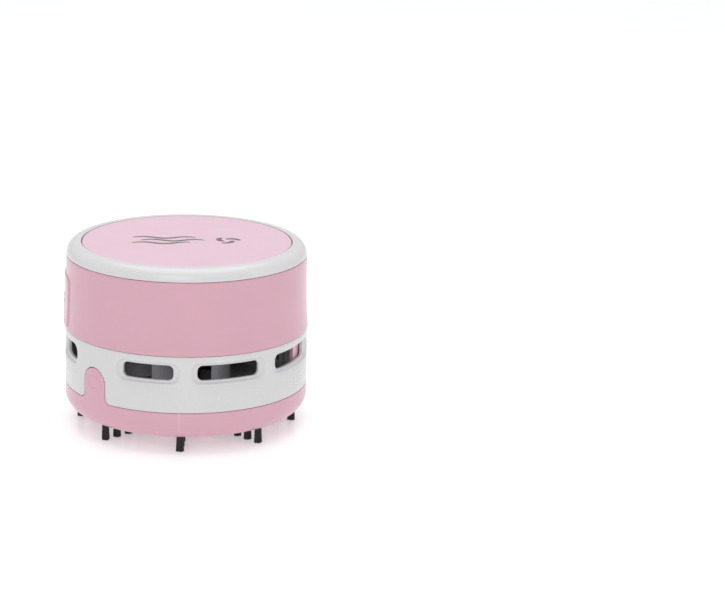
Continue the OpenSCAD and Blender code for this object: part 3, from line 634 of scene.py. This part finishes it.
def even_steps(points, count):
    """The same line with that many points, evenly spaced along it."""
    points = np.array(points)
    lengths = np.hypot(*np.diff(points, axis=0).T)
    walked = np.concatenate([[0], np.cumsum(lengths)])
    wanted = np.linspace(0, walked[-1], count)
    return np.stack([np.interp(wanted, walked, points[:, i]) for i in (0, 1)], axis=1)


def arch_line(half, root, foot, end):
    """Half width, root radius, foot height: a tab's outline from its left end."""
    head = tab_top - tab_half
    left = ([(-end, foot)] + arc(-half - root, foot + root, root, -90, 0, 12)
            + arc(0, head, half, 180, 90, 24))
    return left + [(-x, z) for x, z in left[-2::-1]]


notch_line = even_steps(
    arch_line(tab_half + slide_gap + lip_soft, tab_root - slide_gap - lip_soft, cell_low,
              notch_half / per_mm), 3 * side_steps + 1)


def notch_cell(skin, middle):
    """One cell of wall with the arched notch of a tab, outside and inside."""
    edge = cell_edge(middle - notch_half, middle + notch_half)
    around = np.concatenate([edge[:1], edge[:side_steps:-1]])
    around = np.concatenate([around, edge[side_steps:side_steps + 1]])
    notch = np.stack([middle + notch_line[:, 0] * per_mm, notch_line[:, 1]], axis=1)
    for radius in (ring_r, ring_wall_in):
        skin.rows([rolled(notch + (around - notch) * t, radius)
                   for t in np.linspace(0, 1, 8)], closed=False)
    return notch


# %% Assemble the ring
ring_skin = Skin()
low_line, top_angles = [], []
for half_turn in (0, 180):
    notch = notch_cell(ring_skin, half_turn)
    low_line += list(notch[:-1])
    top_angles += list(np.linspace(-notch_half, notch_half, side_steps + 1)[:-1] + half_turn)
    for i, (start, end) in enumerate(vent_spans):
        left, right = cell_bounds[i] + half_turn, cell_bounds[i + 1] + half_turn
        vent_cell(ring_skin, left, right, start + half_turn, end + half_turn)
        low_line += straight((left, cell_low), (right, cell_low), side_steps)
        top_angles += list(np.linspace(left, right, side_steps + 1)[:-1])

lip_rows = [(1 - math.cos(a), math.sin(a)) for a in np.linspace(0, math.pi / 2, 5)]


def swept_rows(line, up, outer_r, inner_r):
    """Rows of a rounded wall edge along a line of (angle, height), closed round the axis."""
    flat = np.array(line)
    flat[:, 0] /= per_mm
    turn = 360 / per_mm
    before, after = np.roll(flat, 1, axis=0), np.roll(flat, -1, axis=0)
    before[0, 0] -= turn
    after[-1, 0] += turn
    along = after - before
    along /= np.linalg.norm(along, axis=1)[:, None]
    out = np.stack([along[:, 1], -along[:, 0]], axis=1) * (-1 if up else 1)
    rows = []
    for radius, sign in ((outer_r, -1), (inner_r, 1)):
        part = []
        for inwards, outwards in lip_rows:
            moved = flat + out * outwards * lip_soft
            part.append(polar(radius + sign * inwards * lip_soft,
                              moved[:, 0] * per_mm, moved[:, 1]))
        rows += part if sign < 0 else part[::-1]
    return rows


ring_skin.rows(swept_rows(low_line, False, ring_r, ring_wall_in))
ring_skin.rows(swept_rows([(a, cell_high) for a in top_angles], True, ring_r, ring_wall_in))
ring = ring_skin.piece("vent_ring_wall", white_finish, "housing", "white_shell")
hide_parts("vent_ring")

# %% [markdown]
# The floor of the ring carries the fan inlet, the collar of the filter and four screw
# posts. Behind each tab an arched plate closes the notch. They belong to the same white
# moulding, but they are turned and placed on their own, because each is a simple shape.

# %% Floor, collar, posts and backing plates
plate_low, plate_top = 18.7, 20.2
inlet_r, collar_in, collar_out, collar_low = 12.0, 32.1, 33.3, 16.4
floor_skin = Skin().turned(
    [(ring_wall_in + 0.02, plate_low), (ring_wall_in + 0.02, plate_top)]
    + arc(inlet_r + 0.5, plate_top - 0.5, 0.5, 90, 180, 5)
    + arc(inlet_r + 0.5, plate_low + 0.5, 0.5, 180, 270, 5)
    + [(collar_in, plate_low), (collar_in, collar_low + 0.15), (collar_in + 0.15, collar_low),
       (collar_out - 0.15, collar_low), (collar_out, collar_low + 0.15),
       (collar_out, plate_low)], round_angles)


def upright_tube(skin, azimuth, reach, outer, bore, low, high):
    """A screw post: a short tube on the floor, with a soft top edge."""
    centre = polar(reach, azimuth, 0)
    around = np.arange(0, 360, 15)
    section = [(outer, low), (outer, high - 0.2), (outer - 0.2, high), (bore, high),
               (bore, low), (outer, low)]
    skin.rows([polar(r, around, z) + centre for r, z in section])


post_azimuths = (47.75, 132.25, 227.75, 312.25)
for azimuth in post_azimuths:
    upright_tube(floor_skin, azimuth, 36.1, 2.5, 1.25, plate_top - 0.1, 33.7)
backing = [(38.7, 19.1), (40.3, 19.1), (40.3, 28.4), (40.0, 28.7), (39.0, 28.7), (38.7, 28.4)]
for half_turn in (0, 180):
    backing_angles = half_turn + np.linspace(-11, 11, 23)
    floor_skin.capped([polar(r, backing_angles, z) for r, z in backing + backing[:1]])
floor_skin.piece("vent_ring_floor", white_finish, "housing", "white_shell")

# %% [markdown]
# ## Dust tray
# The tray pulls off downwards. Its wall rises into two arched release tabs. The underside
# has a flat sole with a wide rounded edge, eight shallow pockets for the brush rows, two
# small ejector dimples and the intake, whose mouth is rounded. All of it is one turned
# skin: the tabs come from the line that its rim follows, and the pockets are relief.

# %% The line of the rim
sole_z, rim_z = 5.0, 14.95
edge_round, floor_t = 6.5, 2.4
tray_angle = 11.5
rim_low = rim_z - lip_soft
tab_line = even_steps(arch_line(tab_half - lip_soft, tab_root - 0.12 + lip_soft, rim_low,
                                tray_angle / per_mm), 109)
tab_count = len(tab_line)
between = np.linspace(tray_angle, 180 - tray_angle, 421)
rim_line, foot_angles = [], []
for half_turn in (0, 180):
    rim_line += list(np.stack([half_turn + tab_line[:-1, 0] * per_mm, tab_line[:-1, 1]], 1))
    foot_angles += list(half_turn + np.linspace(-tray_angle, tray_angle, tab_count)[:-1])
    rim_line += [(half_turn + a, rim_low) for a in between[:-1]]
    foot_angles += list(half_turn + between[:-1])
rim_line, foot_angles = np.array(rim_line), np.array(foot_angles)
tab_in = ring_r - 1.6

# %% Outside wall, rim and tabs
tray_rows = []
wall_low = np.stack([foot_angles, np.full(len(foot_angles), sole_z + edge_round)], axis=1)
for t in np.linspace(0, 1, 9):
    tray_rows.append(rolled(wall_low + (rim_line - wall_low) * t, ring_r))
tray_rows += swept_rows(rim_line, True, ring_r, tab_in)
wall_foot = np.stack([foot_angles, np.full(len(foot_angles), rim_z)], axis=1)
inside_line = rim_line.copy()
for t in np.linspace(0, 1, 7):
    tray_rows.append(rolled(inside_line + (wall_foot - inside_line) * t, tab_in))

# %% Upstand, chamber and intake tube
upstand_out, upstand_in, upstand_top = 39.75, 38.15, 17.35
chamber_round, chamber_z = 4.5, sole_z + floor_t
intake_r, tube_r, tube_top, mouth_r = 9.25, 10.85, 12.8, 1.2
inner_section = (
    [(upstand_out + 0.1, rim_z), (upstand_out, rim_z + 0.1)]
    + arc(upstand_out - 0.3, upstand_top - 0.3, 0.3, 0, 90, 4)
    + arc(upstand_in + 0.3, upstand_top - 0.3, 0.3, 90, 180, 4)
    + arc(upstand_in - chamber_round, chamber_z + chamber_round, chamber_round, 0, -90, 10)
    + [(24, chamber_z), (tube_r + 0.4, chamber_z), (tube_r, chamber_z + 0.4)]
    + arc(tube_r - 0.3, tube_top - 0.3, 0.3, 0, 90, 4)
    + arc(intake_r + 0.3, tube_top - 0.3, 0.3, 90, 180, 4)
    + [(intake_r, 9.5)] + arc(intake_r + mouth_r, sole_z + mouth_r, mouth_r, 180, 270, 8))
tray_rows += [polar(r, foot_angles, z) for r, z in inner_section]

# %% Sole with pockets and dimples
tuft_outer, tuft_pitch = 37.0, 5.15
pocket_half, pocket_deep, pocket_edge = 2.9, 0.5, 0.45
row_sizes = [5 if row % 2 == 0 else 3 for row in range(8)]


def sole_relief(radius, degrees, z):
    """Lifts the sole inside the pockets and the dimples."""
    lifted = np.full(len(degrees), float(z))
    for row, size in enumerate(row_sizes):
        turn = np.radians(degrees - row * 45)
        along, across = radius * np.cos(turn), radius * np.sin(turn)
        inner_end = tuft_outer - (size - 1) * tuft_pitch
        away = np.hypot(np.minimum(along - inner_end, 0), across)
        away = np.where(along > 0, away, 99)
        step = np.clip((pocket_half - away) / pocket_edge + 0.5, 0, 1)
        step = step * step * (3 - 2 * step)
        lifted += step * max(0.0, sole_z + pocket_deep - z)
    for dimple in (135, 315):
        away = np.hypot(*(polar(radius, degrees, 0) - polar(18.5, dimple, 0)).T[:2])
        step = np.clip((1.4 - away) / 0.35 + 0.5, 0, 1)
        lifted += 0.3 * step * step * (3 - 2 * step) * (z < sole_z + 0.01)
    return lifted


sole_section = [(r, sole_z) for r in np.arange(intake_r + mouth_r + 0.4, 35.6, 0.4)]
sole_section += arc(ring_r - edge_round, sole_z + edge_round, edge_round, -90, 0, 34)
tray_rows += [polar(r, foot_angles, sole_relief(r, foot_angles, z)) for r, z in sole_section]
tray = Skin().rows(tray_rows).piece("tray_body", tray_finish, "dust_tray", "pink_tray")
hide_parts("dust_tray")

# %% [markdown]
# Each tab has a raised oval where the thumb presses. It is a plain oval ridge, rolled onto
# the wall.

# %% Oval ridge on each tab
oval_skin = Skin()
oval_w, oval_h, ridge_w, ridge_out = 3.1, 2.1, 0.42, 0.22
oval_z = tab_top - tab_half - 0.2
around = np.linspace(0, 360, 65)[:-1]
for half_turn in (0, 180):
    ridge_rows = []
    for angle in np.linspace(-180, 180, 13)[:-1]:
        off = ridge_w * math.cos(math.radians(angle))
        rise = ridge_out * math.sin(math.radians(angle))
        x = (oval_w + off) * np.cos(np.radians(around))
        z = oval_z + (oval_h + off) * np.sin(np.radians(around))
        ridge_rows.append(polar(ring_r - 0.02 + rise, half_turn + x * per_mm, z))
    oval_skin.rows(ridge_rows + ridge_rows[:1])
oval_skin.piece("tab_ovals", tray_finish, "dust_tray", "pink_tray")

# %% [markdown]
# ## Bristles
# Every tuft is a pinch of stiff nylon bristles folded into one hole. They stand close
# together at the root and spread a little at the tip, no two alike. Fine six-sided bars
# with a bend show this at arm's length and close up.

# %% Bristle finish and tufts
bristle_finish = moulded("bristle nylon", (0.013, 0.011, 0.012), 0.5, grain=4000.0)
random.seed(7)
bristle_r, root_r, tip_r, root_z = 0.21, 0.98, 1.27, 6.4
ring_counts = ((0, 1), (0.36, 6), (0.68, 12), (1.0, 17))


def tuft(skin, centre_x):
    """One tuft of bristles in the frame of its row, tips at the table."""
    for share, count in ring_counts:
        for k in range(count):
            angle = 2 * math.pi * (k + random.uniform(-0.2, 0.2)) / count
            lean = random.uniform(0.86, 1.0)
            root = Vector((centre_x + share * root_r * math.cos(angle),
                           share * root_r * math.sin(angle), root_z))
            tip = Vector((centre_x + share * tip_r * lean * math.cos(angle + 0.08),
                          share * tip_r * lean * math.sin(angle + 0.08),
                          random.uniform(0.0, 0.28)))
            rows = []
            for t in (0, 0.3, 0.65, 0.97, 1.0):
                out = root.lerp(tip, t ** 1.6)
                middle = Vector((out.x, out.y, root.lerp(tip, t).z))
                thick = bristle_r * (0.7 if t == 1.0 else 1.0)
                rows.append([middle + thick * Vector((math.cos(a), math.sin(a), 0))
                             for a in np.radians(np.arange(0, 360, 60))])
            skin.capped(rows, closed=True)


for row, size in enumerate(row_sizes):
    row_skin = Skin()
    for k in range(size):
        tuft(row_skin, tuft_outer - k * tuft_pitch)
    turn = Matrix.Rotation(math.radians(row * 45), 3, "Z")
    row_skin.points = [tuple(turn @ Vector(p)) for p in row_skin.points]
    bristles = row_skin.piece(f"bristles_{row + 1}", bristle_finish, "dust_tray", "bristle")
    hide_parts(f"brush_row_{row + 1}")

# %% [markdown]
# ## Floor and light
# A product like this is lit in a white tent on a glowing table: light comes from all
# round, the floor is as bright as the air, and only a faint reflection ties the object
# to it. The world is the tent, the floor glows a little itself, and three soft panels
# give the gloss something to show.

# %% Floor
floor_mesh = bpy.data.meshes.new("floor")
floor_half = 3.0
floor_mesh.from_pydata([(x * floor_half, y * floor_half, 0) for x, y in
                        ((-1, -1), (1, -1), (1, 1), (-1, 1))], [], [(0, 1, 2, 3)])
floor = bpy.data.objects.new("floor", floor_mesh)
bpy.context.scene.collection.objects.link(floor)
floor_finish, _, floor_shader = new_material("pale table")
floor_shader.inputs["Base Color"].default_value = (0.76, 0.79, 0.78, 1)
floor_shader.inputs["Roughness"].default_value = 0.12
floor_shader.inputs["IOR"].default_value = 1.2
floor_shader.inputs["Emission Color"].default_value = (1, 0.99, 0.995, 1)
floor_shader.inputs["Emission Strength"].default_value = 0.36
floor_mesh.materials.append(floor_finish)

# %% World and lights
world = bpy.data.worlds.new("tent")
bpy.context.scene.world = world
world.use_nodes = True
world.node_tree.nodes["Background"].inputs["Color"].default_value = (1, 1, 1, 1)
world.node_tree.nodes["Background"].inputs["Strength"].default_value = 0.66


def soft_panel(name, place, size, watts):
    """A large square lamp at place that faces the object."""
    data = bpy.data.lights.new(name, "AREA")
    data.shape = "RECTANGLE"
    data.size, data.size_y = size
    data.energy = watts
    lamp = bpy.data.objects.new(name, data)
    bpy.context.scene.collection.objects.link(lamp)
    lamp.location = place
    lamp.rotation_mode = "QUATERNION"
    lamp.rotation_quaternion = (aim - Vector(place)).to_track_quat("-Z", "Y")
    return lamp


soft_panel("panel above", (0.1, 0.1, 0.9), (0.9, 0.9), 4.0)
soft_panel("panel front", (-0.75, -0.55, 0.55), (0.6, 0.6), 2.0)
soft_panel("panel right", (0.55, -0.75, 0.35), (0.4, 0.7), 0.5)
bpy.context.scene.view_settings.view_transform = "Standard"
